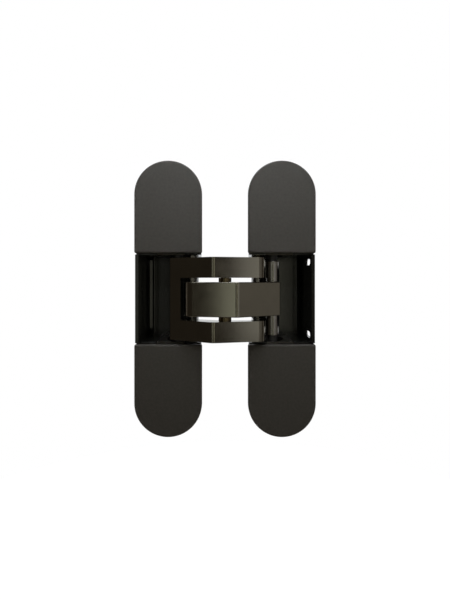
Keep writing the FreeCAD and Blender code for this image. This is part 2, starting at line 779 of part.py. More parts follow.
    def centre(self):
        """The pin where the two arms cross, with its bush and washers."""
        s = self.s
        y = -s.centre_front
        pin = self.pin("centre_pin", s.centre_radius, self.fork_half - s.centre_pin_recess, 0, y)
        self.keep(pin.body, "centre_pin")
        bush = self.ring("centre_bush", s.centre_radius + s.running_fit, self.centre_bush_radius,
                         -s.middle_half, s.middle_half, 0, y)
        self.keep(bush.body, "centre_bush")
        self.pair("centre_washers", self.ring(
            "centre_washer", s.centre_radius + s.fixed_fit, s.centre_radius + s.centre_washer_rim,
            s.middle_half + s.running_fit, self.fork_slot_half - s.running_fit, 0, y))

    def sliders(self):
        """The slider pins at the arms' far ends, with the bushes that run in the guide plates."""
        s = self.s
        bore = s.slider_radius + s.fixed_fit
        end = self.seat_half - s.seat_gap * 2
        play = s.running_fit * 2
        y = self.slider_depth
        for side, word, half in ((-1, "fork", self.fork_half), (1, "middle", self.slider_sleeve_half)):
            x = self.slider_reach * side
            pin = self.pin(word + "_slider_pin", s.slider_radius, end, x, y)
            self.keep(pin.body, word + "_slider_pin")
            self.pair(word + "_slider_bushes", self.ring(
                word + "_slider_bush", bore, self.slider_bush_radius, half + play, end, x, y))
        self.pair("middle_slider_sleeves", self.ring(
            "middle_slider_sleeve", bore, s.slider_radius + s.slider_sleeve_wall, s.middle_half + play,
            self.slider_sleeve_half, self.slider_reach, y))

    def hex_loop(self):
        """The six flats of a key socket, about the piece's own axis."""
        radius = self.s.hex_socket_radius
        turns = [math.radians(60 * turn) for turn in range(6)]
        return [("line", radius * math.cos(turn), radius * math.sin(turn)) for turn in turns]

    def side_screws(self):
        """The frame half's side adjusters: threaded in the carrier, turning in the housing's floor."""
        s = self.s
        shoulder = self.frame_floor - s.seat_gap
        for up, word in ((1, "upper"), (-1, "lower")):
            name = "left_%s_side_screw" % word
            piece = Piece(self.doc, name)
            piece.revolve("XY", [[
                ("line", 0, self.block_front), ("line", s.side_screw_radius, self.block_front),
                ("line", s.side_screw_radius, shoulder), ("line", s.side_screw_neck, shoulder),
                ("line", s.side_screw_neck, self.housing_depth - s.seat_gap),
                ("line", 0, self.housing_depth - s.seat_gap)]])
            piece.cut("XZ", 0, self.block_front + s.hex_socket_depth, [self.hex_loop()])
            piece.place(-self.centre_x, 0, self.adjuster_height * up)
            self.keep(piece.body, name)

    def height_cams(self):
        """The door half's height adjusters: a drum in the carrier with an off-centre pin in the housing."""
        s = self.s
        drum_end = self.block_back - s.seat_gap
        for up, word in ((1, "upper"), (-1, "lower")):
            name = "right_%s_height_cam" % word
            piece = Piece(self.doc, name)
            piece.revolve("XY", [box_loop(0, self.block_front, s.cam_radius, drum_end)])
            piece.pad("XZ", -drum_end, self.housing_depth - s.seat_gap - drum_end,
                      [("circle", self.cam_throw(), 0, s.cam_pin_radius)], backwards=True)
            piece.cut("XZ", 0, self.block_front + s.hex_socket_depth, [self.hex_loop()])
            piece.place(self.cam_reach, 0, self.adjuster_height * up)
            self.keep(piece.body, name)

    def clamp_screws(self):
        """The screws that lock the door half's carrier once its height is set."""
        s = self.s
        seat = self.head_seat() - s.seat_gap
        top = seat - s.clamp_head_height
        piece = Piece(self.doc, "right_clamp_screw")
        piece.revolve("XY", [[
            ("line", 0, top), ("line", s.clamp_head_radius, top), ("line", s.clamp_head_radius, seat),
            ("line", s.clamp_radius, seat), ("line", s.clamp_radius, self.housing_depth - s.seat_gap),
            ("line", 0, self.housing_depth - s.seat_gap)]])
        piece.cut("XZ", 0, top + s.clamp_socket_depth, [self.hex_loop()])
        piece.place(self.clamp_reach, 0, self.adjuster_height)
        self.pair("right_clamp_screws", piece)

    def build(self):
        for up, word in ((1, "upper"), (-1, "lower")):
            self.cap(up, word)
            self.guide(up, word)
        for side, word in ((-1, "left"), (1, "right")):
            self.housing(side, word)
            self.carrier(side, word)
        self.fork_arm()
        self.middle_arm()
        self.pivots()
        self.centre()
        self.sliders()
        self.side_screws()
        self.height_cams()
        self.clamp_screws()


def main():
    doc = FreeCAD.newDocument("concealed_hinge")
    hinge = Hinge(doc)
    hinge.build()
    doc.recompute()
    for item in doc.Objects:
        if "Invalid" in item.State or "Error" in item.State:
            raise ValueError("%s is in state %s" % (item.Label, item.State))
    os.makedirs("parts", exist_ok=True)
    for name, item in hinge.nodes:
        shape = item.Shape
        if shape.isNull() or not shape.isValid() or not shape.Solids:
            raise ValueError("%s has no valid solid" % name)
        shape.exportStep("parts/%s.step" % name)
        print("%-26s %d solids %9.1f mm3" % (name, len(shape.Solids), shape.Volume))
    print("fold %.5f  cross %.5f  ratio %.6f" % (hinge.fold, hinge.cross, hinge.cross / hinge.fold))
    print("guide arc radius %.3f" % hinge.path.radius.value)


main()
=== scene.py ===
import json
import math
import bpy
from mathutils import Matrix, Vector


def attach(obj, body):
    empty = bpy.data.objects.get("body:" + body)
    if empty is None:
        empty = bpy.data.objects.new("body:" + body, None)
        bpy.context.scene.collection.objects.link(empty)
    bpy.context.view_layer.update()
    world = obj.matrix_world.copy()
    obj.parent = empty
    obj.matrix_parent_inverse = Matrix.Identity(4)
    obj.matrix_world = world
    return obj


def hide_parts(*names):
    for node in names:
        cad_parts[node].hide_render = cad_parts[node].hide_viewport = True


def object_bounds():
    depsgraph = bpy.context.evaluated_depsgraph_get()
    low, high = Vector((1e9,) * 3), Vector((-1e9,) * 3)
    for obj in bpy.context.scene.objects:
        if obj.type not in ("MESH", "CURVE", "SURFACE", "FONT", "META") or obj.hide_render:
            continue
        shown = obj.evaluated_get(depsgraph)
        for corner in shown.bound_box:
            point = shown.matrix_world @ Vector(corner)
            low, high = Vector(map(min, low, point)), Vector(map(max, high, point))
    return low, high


bl_info = {
    "name": "Concealed hinge",
    "version": (1, 0, 0),
    "blender": (4, 5, 0),
    "location": "3D View > Sidebar > Hinge",
    "description": "Dresses the packed concealed hinge and sets up its studio",
    "category": "Object",
}

import bmesh
import bpy
import numpy as np
from bpy.props import FloatProperty, FloatVectorProperty, PointerProperty
from bpy.types import Operator, Panel, PropertyGroup
from mathutils import Matrix
from mathutils.geometry import tessellate_polygon

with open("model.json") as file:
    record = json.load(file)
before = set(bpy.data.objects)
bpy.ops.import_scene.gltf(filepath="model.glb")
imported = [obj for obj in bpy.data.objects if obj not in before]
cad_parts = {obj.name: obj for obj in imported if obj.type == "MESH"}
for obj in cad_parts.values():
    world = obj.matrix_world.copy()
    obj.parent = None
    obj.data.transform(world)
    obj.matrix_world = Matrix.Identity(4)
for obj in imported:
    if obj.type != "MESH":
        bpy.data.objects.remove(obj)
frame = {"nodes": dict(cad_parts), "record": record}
CAD_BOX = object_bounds()
MM = 0.001
SIDES = ((-1, "left"), (1, "right"))
LEVELS = ((1, "upper"), (-1, "lower"))
BODY_OF = {node: body for body, nodes in frame["record"]["behaviour"]["bodies"].items()
           for node in nodes}
SLOT_OF = {item["node"]: item["material_slot"] for item in frame["record"]["subparts"]}

# From here to the rings, lengths are in millimetres. Corners of an arm's plan outline: across (X),
# depth (Y), corner radius.
ARM_CORNERS = (
    (-24.1, 1.2, 0.6), (-5.2, -8.9, 3.0), (17.65, -4.2, 5.0), (17.9, 14.8, 2.7), (12.3, 14.8, 2.7),
    (12.3, -0.6, 3.0), (-1.2, -1.7, 1.0), (-18.5, 5.45, 1.0), (-18.5, 9.3, 2.7), (-24.1, 9.3, 2.7))
FORK_HALF = 17.7
FORK_SLOT_HALF = 9.1
FORK_WEB_X = -19.1
MIDDLE_HALF = 7.3
# Places of an arm's bores, across and depth: at its heel, at the crossing and at its tip.
PIVOT = (15.1, 12.0)
CENTRE = (0.0, -5.0)
SLIDER = (21.3, 6.5)
PIVOT_BORE = 2.05
CENTRE_PIN_BORE = 1.82
CENTRE_BUSH_BORE = 2.27
SLIDER_BORE = 1.52
BORE_ROUND = 0.15

CAP_NEAR, CAP_FAR = 10.0, 39.4
CAP_FOOT, CAP_TOP = 19.8, 60.0
CAP_FOOT_ROUND, CAP_TOP_ROUND = 0.8, 14.699
CAP_THICKNESS, CAP_BACK_ROUND = 2.2, 0.15
PEG_RADIUS, PEG_ROUND = 1.5, 0.4
PEG_START, PEG_END = 2.0, 5.4
PEG_OFFSET, PEG_HEIGHT = 7.5, 47.0

RIB_PLAN = ((-37.6, 24.35), (-36.1, 24.62), (-36.1, 26.5), (-37.6, 26.5))
RIB_SPAN = (-16.0, 18.0)
RIB_ROUND = 0.1
SLOT_NEAR, SLOT_FAR = 3.2, 14.5
SLOT_HALF, SLOT_HEIGHT = 1.399, 16.2
SLOT_END_FLAT = 0.02
CUTTER_SPAN = (35.0, 42.0)
CUTTER_ROUND = 0.05

# Pins: node, radius, half length, across, depth.
PIN_ROUND = 0.3
PINS = (
    ("left_pivot_pin", 2.0, 23.5, -PIVOT[0], PIVOT[1]),
    ("right_pivot_pin", 2.0, 23.5, PIVOT[0], PIVOT[1]),
    ("centre_pin", 1.8, 17.4, *CENTRE),
    ("fork_slider_pin", 1.5, 21.3, -SLIDER[0], SLIDER[1]),
    ("middle_slider_pin", 1.5, 21.3, SLIDER[0], SLIDER[1]))
# Rings: node, inner and outer radius, lower and upper end, across, depth. One that starts above
# the middle has a twin as far below it.
RING_ROUND = 0.15
RINGS = (
    ("left_pivot_sleeves", 2.02, 2.4, 7.4, 19.1, -PIVOT[0], PIVOT[1]),
    ("right_pivot_washers", 2.02, 2.8, 17.8, 19.1, PIVOT[0], PIVOT[1]),
    ("right_pivot_spacer", 2.02, 2.4, -9.0, 9.0, *PIVOT),
    ("centre_washers", 1.82, 2.7, 7.35, 9.05, *CENTRE),
    ("centre_bush", 1.85, 2.25, -7.3, 7.3, *CENTRE),
    ("fork_slider_bushes", 1.52, 2.2, 17.8, 21.3, -SLIDER[0], SLIDER[1]),
    ("middle_slider_bushes", 1.52, 2.2, 16.5, 21.3, SLIDER[0], SLIDER[1]),
    ("middle_slider_sleeves", 1.52, 3.05, 7.4, 16.4, SLIDER[0], SLIDER[1]))

# How edges are found and finished: degrees between faces, and metres.
PIECE_SHARP = 38.0
CAST_SHARP = 32.0
FLAT_ANGLE = 0.5
MERGE_DISTANCE = 2e-7
EDGE_SEGMENTS = 3
BUMP_DISTANCE = 0.00003
# Numbers of the colour sockets of a Mix node.
MIX_FIRST, MIX_SECOND, MIX_RESULT = 6, 7, 2

# The studio, in metres. Soft boxes: name, azimuth and elevation in degrees, distance, width,
# height, radiance, colour, height aimed at, spread in degrees.
SOFT_BOXES = (
    ("left_strip", -19.4, 0.0, 0.5, 0.078, 0.22, 0.74, (0.96, 1.0, 0.84), 0.0, 180),
    ("right_near", 9.0, 0.0, 0.5, 0.070, 0.22, 1.1, (1.0, 1.0, 0.78), 0.0, 180),
    ("right_main", 34.2, 0.0, 0.5, 0.150, 0.22, 0.62, (1.0, 0.99, 0.94), 0.0, 180),
    ("right_far", 58.0, 0.0, 0.5, 0.287, 0.22, 0.24, (1.0, 0.95, 0.87), 0.0, 180),
    ("high_box", 0.0, 66.0, 0.25, 0.25, 0.12, 3.5, (0.96, 0.98, 1.0), 0.0, 180),
    ("top_grid", 0.0, 38.0, 0.4, 0.25, 0.05, 0.95, (0.96, 0.98, 1.0), 0.052, 36),
    ("back_box", 180.0, 60.0, 0.55, 0.7, 0.5, 3.0, (0.97, 0.98, 1.0), 0.0, 180))
FLOOR_RADIUS = 0.45
FLOOR_DROP = 0.2
FLOOR_COLOUR = (0.3, 0.27, 0.23, 1)
FLOOR_GLOW = 0.85
FRONT_TINT, FRONT_STRENGTH = (1.0, 0.8, 0.58, 1), 0.05
BEHIND_TINT, BEHIND_STRENGTH = (0.96, 0.98, 1.0, 1), 1.0
BEHIND_FROM, BEHIND_TO = -0.1, 0.35
WHITE = (1, 1, 1, 1)
PIXELS_PER_METRE = 2312.5
PICTURE_PIXELS = 600.0
SENSOR_MM = 36.0
CAMERA_RISE = 0.0086
CAMERA_SHIFT_PIXELS = -21.0
CAMERA_CLIP = 0.01


def rounded_outline(corners, steps=10):
    """Outline of a polygon with rounded corners, anticlockwise, as an array of points.

    With h half the angle at a corner and r its radius, the arc touches both sides at r / tan(h)
    from the corner, its centre lies r / sin(h) along the bisector and it turns by 180 degrees
    less 2 h. Each arc is sampled at steps + 1 equal angles, and straight sides run between arcs.
    """
    table = np.array(corners, float)
    corner, radius = table[:, :2], table[:, 2]
    before = np.roll(corner, 1, axis=0) - corner
    after = np.roll(corner, -1, axis=0) - corner
    before /= np.linalg.norm(before, axis=1)[:, None]
    after /= np.linalg.norm(after, axis=1)[:, None]
    half = np.arccos(np.clip(np.sum(before * after, axis=1), -1, 1)) / 2
    bisector = before + after
    bisector /= np.linalg.norm(bisector, axis=1)[:, None]
    centre = corner + bisector * (radius / np.sin(half))[:, None]
    start = corner + before * (radius / np.tan(half))[:, None] - centre
    bend = np.sign(after[:, 0] * before[:, 1] - after[:, 1] * before[:, 0]) * (math.pi - 2 * half)
    share = np.linspace(0, 1, steps + 1)
    angle = np.arctan2(start[:, 1], start[:, 0])[:, None] + bend[:, None] * share
    arc = np.stack([np.cos(angle), np.sin(angle)], axis=2) * radius[:, None, None]
    outline = (arc + centre[:, None]).reshape(-1, 2)
    across = np.roll(outline, -1, axis=0)
    area = np.sum(outline[:, 0] * across[:, 1] - outline[:, 1] * across[:, 0])
    return outline if area > 0 else outline[::-1]


def circle_outline(x, y, radius, steps=48):
    """A bore's points: its centre plus the radius times the cosine and sine of equal steps.

    They run clockwise, so that the inset that shrinks an outline widens the bore.
    """
    angle = -np.arange(steps) * 2 * math.pi / steps
    return np.stack([x + radius * np.cos(angle), y + radius * np.sin(angle)], axis=1)


def inward(outline):
    """For each point, the step that moves both of its sides inwards by one millimetre.

    With m and n the inward unit normals of the sides before and after, it is (m + n) / (1 + m.n).
    """
    side = np.roll(outline, -1, axis=0) - outline
    side /= np.linalg.norm(side, axis=1)[:, None]
    after = np.stack([-side[:, 1], side[:, 0]], axis=1)
    before = np.roll(after, 1, axis=0)
    return (before + after) / (1 + np.sum(before * after, axis=1))[:, None]


def rim_profile(low, high, low_round, high_round, steps=4):
    """Heights and insets up a wall whose two rims are quarter rounds of radius r.

    For t from 0 to 90 degrees the low rim has height low + r (1 - cos t) and inset
    r (1 - sin t), and the high rim has height high - r (1 - sin t) and inset r (1 - cos t).
    """
    turn = np.linspace(0, math.pi / 2, steps + 1)
    heights = np.concatenate([low + low_round * (1 - np.cos(turn)),
                              high - high_round * (1 - np.sin(turn))])
    insets = np.concatenate([low_round * (1 - np.sin(turn)), high_round * (1 - np.cos(turn))])
    return heights, insets


def wall_rows(outline, heights, insets):
    """The outline repeated up a profile: row i lies at heights[i] and is moved in by insets[i]."""
    rows = outline[None] + inward(outline)[None] * insets[:, None, None]
    level = np.broadcast_to(heights[:, None, None], rows.shape[:2] + (1,))
    return np.concatenate([rows, level], axis=2)


def turned_rows(radii, heights, x, y, steps=48):
    """A profile turned about an upright axis through (x, y): (x + r cos a, y + r sin a, h)."""
    angle = np.arange(steps) * 2 * math.pi / steps
    radii = np.asarray(radii, float)[:, None]
    level = np.broadcast_to(np.asarray(heights, float)[:, None], (len(radii), steps))
    return np.stack([x + radii * np.cos(angle), y + radii * np.sin(angle), level], axis=2)


class Surface:
    """Gathers grids and flat lids of points in millimetres, and makes one closed mesh of them.

    A facing surface is drawn in the plane of the cap faces and carried along the depth.
    """

    def __init__(self, facing=False):
        self.order = [0, 2, 1] if facing else [0, 1, 2]
        self.points = np.zeros((0, 3))
        self.faces = []

    def grid(self, rows):
        """Quads between neighbouring points of successive rows, each row closed on itself."""
        count, length = rows.shape[:2]
        start = len(self.points)
        self.points = np.concatenate([self.points, rows.reshape(-1, 3)])
        numbers = start + np.arange(count * length).reshape(count, length)
        following = np.roll(numbers, -1, axis=1)
        quads = np.stack([numbers[:-1], following[:-1], following[1:], numbers[1:]], axis=2)
        self.faces += quads.reshape(-1, 4).tolist()
        return numbers

    def quads_between(self, lower, upper):
        """Quads between two open runs of equally many vertex numbers."""
        self.faces += np.stack([lower[:-1], lower[1:], upper[1:], upper[:-1]], axis=1).tolist()

    def lid(self, *rings):
        """A flat face bounded by the first ring of vertex numbers, the other rings being holes."""
        numbers = np.concatenate(rings)
        corners = tessellate_polygon([self.points[ring].tolist() for ring in rings])
        self.faces += numbers[np.array(corners)].tolist()

    def prism(self, outline, holes, low, high, rounds, hole_round=0.0):
        """A wall with rounded rims round the outline and round each hole, closed by two lids."""
        walls = [self.grid(wall_rows(outline, *rim_profile(low, high, *rounds)))]
        hole_profile = rim_profile(low, high, hole_round, hole_round)
        walls += [self.grid(wall_rows(hole, *hole_profile)) for hole in holes]
        self.lid(*[wall[0] for wall in walls])
        self.lid(*[wall[-1] for wall in walls])

    def bar(self, radius, low, high, bevel, x, y, steps=48):
        """A solid turned bar with quarter-round rims, closed at both ends on its axis."""
        heights, insets = rim_profile(low, high, bevel, bevel)
        radii = np.concatenate([[0.0], radius - insets, [0.0]])
        heights = np.concatenate([[low], heights, [high]])
        self.grid(turned_rows(radii, heights, x, y, steps))

    def tube(self, inner, outer, low, high, bevel, x, y):
        """A ring with quarter-round outer rims: the bar's profile, closed up the bore instead."""
        heights, insets = rim_profile(low, high, bevel, bevel)
        radii = np.concatenate([[inner], outer - insets, [inner, inner]])
        heights = np.concatenate([[low], heights, [high, low]])
        self.grid(turned_rows(radii, heights, x, y))

    def make(self, name):
        mesh = bpy.data.meshes.new(name)
        mesh.from_pydata(self.points[:, self.order] * MM, [], self.faces)
        return mesh


def merge_faces(mesh, flatten=False):
    """Merges doubles, turns faces outwards and, if asked, joins the triangles of flat faces."""
    bm = bmesh.new()
    bm.from_mesh(mesh)
    bmesh.ops.remove_doubles(bm, verts=bm.verts, dist=MERGE_DISTANCE)
    bmesh.ops.recalc_face_normals(bm, faces=bm.faces)
    if flatten:
        bmesh.ops.dissolve_limit(bm, angle_limit=math.radians(FLAT_ANGLE), verts=bm.verts,
                                 edges=bm.edges)
    bm.to_mesh(mesh)
    bm.free()


def break_edges(piece, width, sharp):
    """Rounds every edge sharper than the given angle."""
    broken = piece.modifiers.new("broken_edges", "BEVEL")
    broken.limit_method = "ANGLE"
    broken.angle_limit = math.radians(sharp)
    broken.width = width
    broken.segments = EDGE_SEGMENTS
    broken.harden_normals = False


def finish_piece(name, mesh, node, sharp=PIECE_SHARP, bevel=0.0, flatten=False):
    """Merges and shades a mesh, breaks its edges and puts the piece in its CAD node's place."""
    merge_faces(mesh, flatten)
    mesh.shade_smooth()
    mesh.set_sharp_from_angle(angle=math.radians(sharp))
    piece = bpy.data.objects.new(name, mesh)
    bpy.context.scene.collection.objects.link(piece)
    if bevel:
        break_edges(piece, bevel, sharp)
    weighted = piece.modifiers.new("even_faces", "WEIGHTED_NORMAL")
    weighted.keep_sharp = True
    mesh.materials.append(bpy.data.materials[SLOT_OF[node]])
    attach(piece, BODY_OF[node])
    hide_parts(node)


def surface_group():
    """Shared shader group: two tones mixed by a soft noise, a fine grain as bump, uneven gloss."""
    group = bpy.data.node_groups.new("grained_surface", "ShaderNodeTree")
    inputs = (("Light tone", "NodeSocketColor"), ("Dark tone", "NodeSocketColor"),
              ("Mottle scale", "NodeSocketFloat"), ("Grain scale", "NodeSocketFloat"),
              ("Grain height", "NodeSocketFloat"), ("Least roughness", "NodeSocketFloat"),
              ("Most roughness", "NodeSocketFloat"), ("Stretch", "NodeSocketVector"))
    outputs = (("Color", "NodeSocketColor"), ("Roughness", "NodeSocketFloat"),
               ("Normal", "NodeSocketVector"))
    for way, sockets in (("INPUT", inputs), ("OUTPUT", outputs)):
        for name, kind in sockets:
            group.interface.new_socket(name=name, in_out=way, socket_type=kind)
    nodes = group.nodes
    links = group.links
    source = nodes.new("NodeGroupInput")
    result = nodes.new("NodeGroupOutput")
    place = nodes.new("ShaderNodeTexCoord")
    stretch = nodes.new("ShaderNodeVectorMath")
    stretch.operation = "MULTIPLY"
    links.new(place.outputs["Object"], stretch.inputs[0])
    links.new(source.outputs["Stretch"], stretch.inputs[1])
    mottle = nodes.new("ShaderNodeTexNoise")
    mottle.inputs["Detail"].default_value = 4.0
    links.new(stretch.outputs[0], mottle.inputs["Vector"])
    links.new(source.outputs["Mottle scale"], mottle.inputs["Scale"])
    grain = nodes.new("ShaderNodeTexNoise")
    grain.inputs["Detail"].default_value = 3.0
    links.new(stretch.outputs[0], grain.inputs["Vector"])
    links.new(source.outputs["Grain scale"], grain.inputs["Scale"])
    both = nodes.new("ShaderNodeMath")
    both.operation = "MULTIPLY_ADD"
    links.new(grain.outputs["Fac"], both.inputs[0])
    both.inputs[1].default_value = 0.9
    links.new(mottle.outputs["Fac"], both.inputs[2])
    spread = nodes.new("ShaderNodeMapRange")
    spread.inputs["From Min"].default_value = 0.6
    spread.inputs["From Max"].default_value = 1.3
    links.new(both.outputs[0], spread.inputs["Value"])
    tone = nodes.new("ShaderNodeMix")
    tone.data_type = "RGBA"
    links.new(spread.outputs["Result"], tone.inputs["Factor"])
    links.new(source.outputs["Dark tone"], tone.inputs[MIX_FIRST])
    links.new(source.outputs["Light tone"], tone.inputs[MIX_SECOND])
    gloss = nodes.new("ShaderNodeMapRange")
    links.new(mottle.outputs["Fac"], gloss.inputs["Value"])
    gloss.inputs["From Min"].default_value = 0.3
    gloss.inputs["From Max"].default_value = 0.7
    links.new(source.outputs["Least roughness"], gloss.inputs["To Min"])
    links.new(source.outputs["Most roughness"], gloss.inputs["To Max"])
    bump = nodes.new("ShaderNodeBump")
    bump.inputs["Distance"].default_value = BUMP_DISTANCE
    links.new(source.outputs["Grain height"], bump.inputs["Strength"])
    links.new(grain.outputs["Fac"], bump.inputs["Height"])
    links.new(tone.outputs[MIX_RESULT], result.inputs["Color"])
    links.new(gloss.outputs["Result"], result.inputs["Roughness"])
    links.new(bump.outputs["Normal"], result.inputs["Normal"])
    return group


def make_material(name, light, dark, metallic, rough, grain, mottle=180.0, scale=3500.0,
                  stretch=(1, 1, 1), specular=0.5):
    """Makes a material on the shared group, or gives one of the frame's the group's nodes.

    Numbers that don't vary over the surface sit on the shader itself.
    """
    material = bpy.data.materials.get(name) or bpy.data.materials.new(name)
    material.use_nodes = True
    nodes = material.node_tree.nodes
    links = material.node_tree.links
    nodes.clear()
    shader = nodes.new("ShaderNodeBsdfPrincipled")
    links.new(shader.outputs[0], nodes.new("ShaderNodeOutputMaterial").inputs["Surface"])
    shader.inputs["Metallic"].default_value = metallic
    shader.inputs["Specular IOR Level"].default_value = specular
    group = nodes.new("ShaderNodeGroup")
    group.node_tree = bpy.data.node_groups.get("grained_surface") or surface_group()
    group.inputs["Light tone"].default_value = (*light, 1)
    group.inputs["Dark tone"].default_value = (*dark, 1)
    group.inputs["Mottle scale"].default_value = mottle
    group.inputs["Grain scale"].default_value = scale
    group.inputs["Grain height"].default_value = grain
    group.inputs["Least roughness"].default_value = rough[0]
    group.inputs["Most roughness"].default_value = rough[1]
    group.inputs["Stretch"].default_value = stretch
    links.new(group.outputs["Color"], shader.inputs["Base Color"])
    links.new(group.outputs["Roughness"], shader.inputs["Roughness"])
    links.new(group.outputs["Normal"], shader.inputs["Normal"])
    material.diffuse_color = (*light, 1)


def shade(colour, factor):
    return tuple(min(1.0, channel * factor) for channel in colour)


class HingeSizes(PropertyGroup):
    """Sizes of the dressed pieces that a user may want to change."""

    cap_edge: FloatProperty(
        name="Cap edge", description="Radius of the caps' front edge",
        default=0.0007, min=0.0001, max=0.001, unit="LENGTH", subtype="DISTANCE")
    arm_edge: FloatProperty(
        name="Arm edge", description="Width of the broken edges of the arms",
        default=0.00035, min=0.0001, max=0.0006, unit="LENGTH", subtype="DISTANCE")
    cast_edge: FloatProperty(
        name="Casting edge", description="Width of the broken edges of the castings",
        default=0.0002, min=0.00005, max=0.0004, unit="LENGTH", subtype="DISTANCE")
    camera_distance: FloatProperty(
        name="Camera distance", description="From the caps' faces to the lens",
        default=0.160, min=0.08, max=1.0, unit="LENGTH", subtype="DISTANCE")


class HingeColours(PropertyGroup):
    """Colours of the finishes."""

    cap: FloatVectorProperty(
        name="Caps", description="Powder coat of the caps",
        subtype="COLOR", size=3, default=(0.050, 0.046, 0.040), min=0, max=1)
    arm: FloatVectorProperty(
        name="Arms", description="Dark bronze coating of the arms",
        subtype="COLOR", size=3, default=(0.200, 0.190, 0.160), min=0, max=1)
    casting: FloatVectorProperty(
        name="Castings", description="Coating of housings and carriers",
        subtype="COLOR", size=3, default=(0.005, 0.005, 0.0045), min=0, max=1)
    steel: FloatVectorProperty(
        name="Steel", description="Ground steel of the pins",
        subtype="COLOR", size=3, default=(0.50, 0.46, 0.38), min=0, max=1)


class HINGE_OT_materials(Operator):
    """Make the finishes and give the carried-over nodes theirs"""

    bl_idname = "hinge.materials"
    bl_label = "Finishes"

    def execute(self, context):
        colours = context.scene.hinge_colours
        cap, arm, casting, steel = (
            tuple(colour) for colour in (colours.cap, colours.arm, colours.casting, colours.steel))
        make_material("cap_paint", shade(cap, 1.25), shade(cap, 0.7), metallic=0.0,
                      rough=(0.52, 0.64), grain=0.55, mottle=900.0, scale=5200.0, specular=0.45)
        for name, light, dark in (("housing_paint", 1.2, 0.8), ("carrier_paint", 1.5, 0.9)):
            make_material(name, shade(casting, light), shade(casting, dark), metallic=0.0,
                          rough=(0.16, 0.22), grain=0.12, mottle=260.0, scale=2600.0, specular=0.4)
        make_material("arm_bronze", shade(arm, 1.1), shade(arm, 0.9), metallic=1.0,
                      rough=(0.15, 0.19), grain=0.1, mottle=150.0, scale=4200.0)
        make_material("guide_steel", (0.075, 0.07, 0.06), (0.05, 0.047, 0.04), metallic=0.9,
                      rough=(0.3, 0.42), grain=0.2, stretch=(1, 0.1, 1))
        make_material("pin_steel", steel, shade(steel, 0.75), metallic=1.0,
                      rough=(0.22, 0.34), grain=0.2, scale=5000.0, stretch=(1, 1, 8))
        make_material("sleeve_steel", (0.27, 0.26, 0.245), (0.2, 0.195, 0.185), metallic=1.0,
                      rough=(0.18, 0.24), grain=0.05, scale=5000.0, stretch=(1, 1, 8))
        make_material("bush_brass", (0.12, 0.097, 0.055), (0.085, 0.068, 0.04), metallic=1.0,
                      rough=(0.12, 0.16), grain=0.05)
        make_material("slide_polymer", (0.02, 0.02, 0.02), (0.012, 0.012, 0.012), metallic=0.0,
                      rough=(0.4, 0.5), grain=0.15)
        make_material("screw_steel", (0.34, 0.32, 0.29), (0.24, 0.23, 0.2), metallic=1.0,
                      rough=(0.28, 0.42), grain=0.25, stretch=(1, 8, 1))
        for node, item in frame["nodes"].items():
            material = bpy.data.materials[SLOT_OF[node]]
            for slot in item.material_slots:
                slot.material = material
        return {"FINISHED"}


class HINGE_OT_castings(Operator):
    """Build the housings, carriers and guides: merged copies of their solids with broken edges"""

    bl_idname = "hinge.castings"
    bl_label = "Castings and guides"

    def execute(self, context):
        edge = context.scene.hinge_sizes.cast_edge
        rows = [(f"{side}_{kind}", edge) for _, side in SIDES for kind in ("housing", "carrier")]
        rows += [(f"{side}_{level}_guide", edge / 2) for _, side in SIDES for _, level in LEVELS]
        for node, width in rows:
            mesh = frame["nodes"][node].data.copy()
            mesh.materials.clear()
            if node == "right_housing":
                mesh = self.cut_wall_slots(mesh, width)
                finish_piece(f"{node}_body", mesh, node, sharp=CAST_SHARP)
                continue
            if node == "left_housing":
                self.add_wall_rib(mesh)
            finish_piece(f"{node}_body", mesh, node, sharp=CAST_SHARP, bevel=width, flatten=True)
        return {"FINISHED"}

    def add_wall_rib(self, mesh):
        """Adds the rib at the far wall's foot: its plan outline carried straight up the window."""
        surface = Surface()
        surface.prism(np.array(RIB_PLAN), [], *RIB_SPAN, (RIB_ROUND, RIB_ROUND))
        bm = bmesh.new()
        bm.from_mesh(mesh)
        bm.from_mesh(surface.make("wall_rib"))
        bm.to_mesh(mesh)
        bm.free()

    def cut_wall_slots(self, mesh, width):
        """Breaks the casting's edges, then cuts a round-ended slot near each end of its far wall.

        Each slot's outline, drawn in depth and height, is carried across the wall. The edges come
        first, because the bevel leaves stray faces on a wall that is already cut.
        """
        merge_faces(mesh, True)
        surface = Surface(facing=True)
        end = SLOT_HALF - SLOT_END_FLAT
        for up in (-1, 1):
            low, high = up * SLOT_HEIGHT - SLOT_HALF, up * SLOT_HEIGHT + SLOT_HALF
            outline = rounded_outline([(-SLOT_FAR, low, end), (-SLOT_NEAR, low, end),
                                       (-SLOT_NEAR, high, end), (-SLOT_FAR, high, end)])
            surface.prism(outline, [], *CUTTER_SPAN, (CUTTER_ROUND, CUTTER_ROUND))
        cutter_mesh = surface.make("slot_cutter")
        merge_faces(cutter_mesh)
        cutter_mesh.transform(Matrix.Rotation(-math.pi / 2, 4, "Z"))
        body, cutter = (bpy.data.objects.new("slot_work", data) for data in (mesh, cutter_mesh))
        for item in (body, cutter):
            bpy.context.scene.collection.objects.link(item)
        break_edges(body, width, CAST_SHARP)
        cut = body.modifiers.new("slots", "BOOLEAN")
        cut.operation = "DIFFERENCE"
        cut.solver = "EXACT"
        cut.object = cutter
        evaluated = body.evaluated_get(bpy.context.evaluated_depsgraph_get())
        result = bpy.data.meshes.new_from_object(evaluated)
        for item in (body, cutter):
            bpy.data.objects.remove(item)
        result.materials.clear()
        return result


